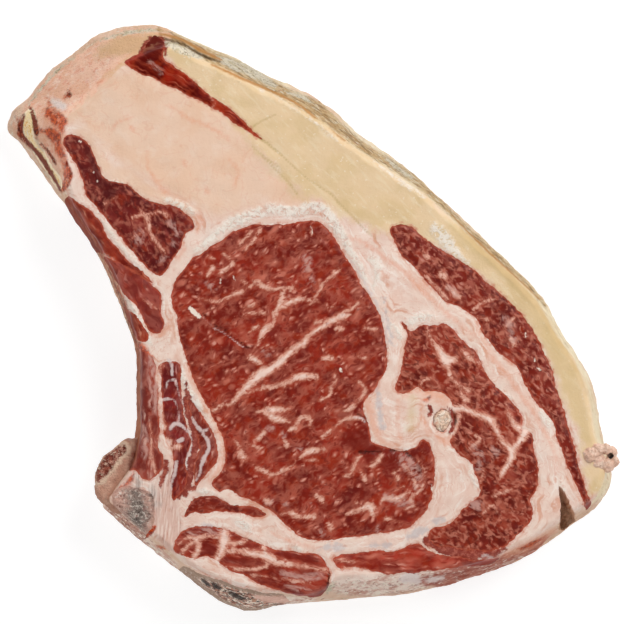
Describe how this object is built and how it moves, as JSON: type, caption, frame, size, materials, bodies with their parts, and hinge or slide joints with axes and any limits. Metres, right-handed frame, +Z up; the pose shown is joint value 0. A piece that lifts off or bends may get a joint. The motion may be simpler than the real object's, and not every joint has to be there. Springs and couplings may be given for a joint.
{
  "type": "bone-in rib steak",
  "caption": "Thick raw dry-aged rib steak on the bone, lying flat, with a marbled eye, a cap muscle, seam fat and a deep fat cap.",
  "frame": {"origin": "middle of the steak's plan, on what it lies on", "axes": "+Z up out of the cut face that shows; +X towards the fat cap's far edge; +Y towards the slanted end of the fat"},
  "size_m": [0.2471, 0.2381, 0.0456],
  "materials": {
    "red_meat": "moist, marbled raw beef",
    "dark_meat": "moist, darker raw beef with silverskin",
    "fat": "waxy hard fat, cream to pink, with a dried tan rind at the side",
    "bone": "sawn bone, grey-beige with brown-red spongy marrow",
    "gristle": "pale dense tendon"
  },
  "bodies": {
    "root": {"eye_muscle": "red_meat", "cap_muscle": "red_meat", "outer_strip_muscle": "red_meat", "wedge_muscle": "red_meat", "rib_muscle": "dark_meat", "rib_strip_muscle": "dark_meat", "edge_strip_upper": "red_meat", "edge_strip_lower": "red_meat", "side_muscle_outer": "dark_meat", "side_muscle_middle": "dark_meat", "side_muscle_inner": "dark_meat", "lower_strip_muscle": "red_meat", "bottom_muscle_left": "red_meat", "bottom_muscle_right": "red_meat", "rib_tip": "bone", "spine_bone": "bone", "chine_bone": "bone", "rib_bone": "bone", "tendon": "gristle", "fat": "fat", "fat_scrap": "fat"}
  },
  "joints": []
}
